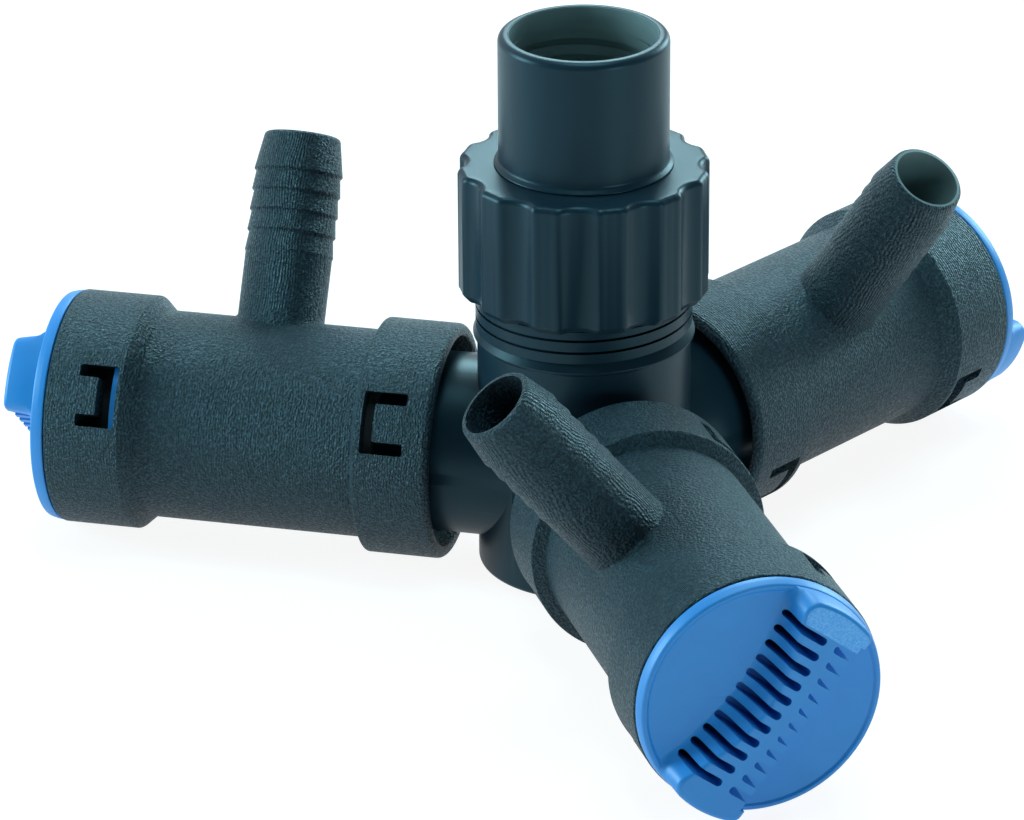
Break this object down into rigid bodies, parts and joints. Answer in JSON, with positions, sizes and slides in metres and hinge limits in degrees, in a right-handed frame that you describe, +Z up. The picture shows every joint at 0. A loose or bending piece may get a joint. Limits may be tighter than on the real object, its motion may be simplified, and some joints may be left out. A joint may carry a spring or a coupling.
{
  "type": "water distribution manifold",
  "caption": "Garden water distributor: upright body with a threaded inlet on a union nut, and swivelling barrels, each with a barbed hose tail and a rotary regulator knob.",
  "frame": {"origin": "centre of the body's flat underside, on the inlet axis", "axes": "+Z up along the inlet axis, -Y along the front branch, +X to the right of it"},
  "size_m": [0.2427, 0.2114, 0.1254],
  "materials": {
    "body_black": "satin moulded",
    "barrel_black": "fine grained",
    "knob_blue": "satin moulded"
  },
  "bodies": {
    "distributor": {"distributor_body": "body_black"},
    "inlet": {"inlet_adapter": "body_black"},
    "nut": {"union_nut": "body_black"},
    "left_barrel": {"valve_barrel_left": "barrel_black"},
    "front_barrel": {"valve_barrel_front": "barrel_black"},
    "right_barrel": {"valve_barrel_right": "barrel_black"},
    "left_knob": {"regulator_knob_left": "knob_blue"},
    "front_knob": {"regulator_knob_front": "knob_blue"},
    "right_knob": {"regulator_knob_right": "knob_blue"}
  },
  "joints": [
    {"name": "inlet_lift", "type": "slide", "parent": "distributor", "child": "inlet", "axis": [0, 0, 1], "range_m": [0, 0.0169]},
    {"name": "nut_turn", "type": "hinge", "parent": "inlet", "child": "nut", "pos_m": [0, 0, 0.0797], "axis": [0, 0, 1], "range_deg": [0, 2160]},
    {"name": "left_barrel_swivel", "type": "hinge", "parent": "distributor", "child": "left_barrel", "pos_m": [0, 0, 0.0248], "axis": [-0.866, 0.5, 0], "continuous": true},
    {"name": "front_barrel_swivel", "type": "hinge", "parent": "distributor", "child": "front_barrel", "pos_m": [0, 0, 0.0248], "axis": [0, -1, 0], "continuous": true},
    {"name": "right_barrel_swivel", "type": "hinge", "parent": "distributor", "child": "right_barrel", "pos_m": [0, 0, 0.0248], "axis": [0.866, 0.5, 0], "continuous": true},
    {"name": "left_knob_turn", "type": "hinge", "parent": "left_barrel", "child": "left_knob", "pos_m": [0, 0, 0.0248], "axis": [-0.866, 0.5, 0], "continuous": true},
    {"name": "front_knob_turn", "type": "hinge", "parent": "front_barrel", "child": "front_knob", "pos_m": [0, 0, 0.0248], "axis": [0, -1, 0], "continuous": true},
    {"name": "right_knob_turn", "type": "hinge", "parent": "right_barrel", "child": "right_knob", "pos_m": [0, 0, 0.0248], "axis": [0.866, 0.5, 0], "continuous": true}
  ],
  "couplings": [
    {"joint": "inlet_lift", "follows": "nut_turn", "m_per_rad": 0.00044563}
  ]
}
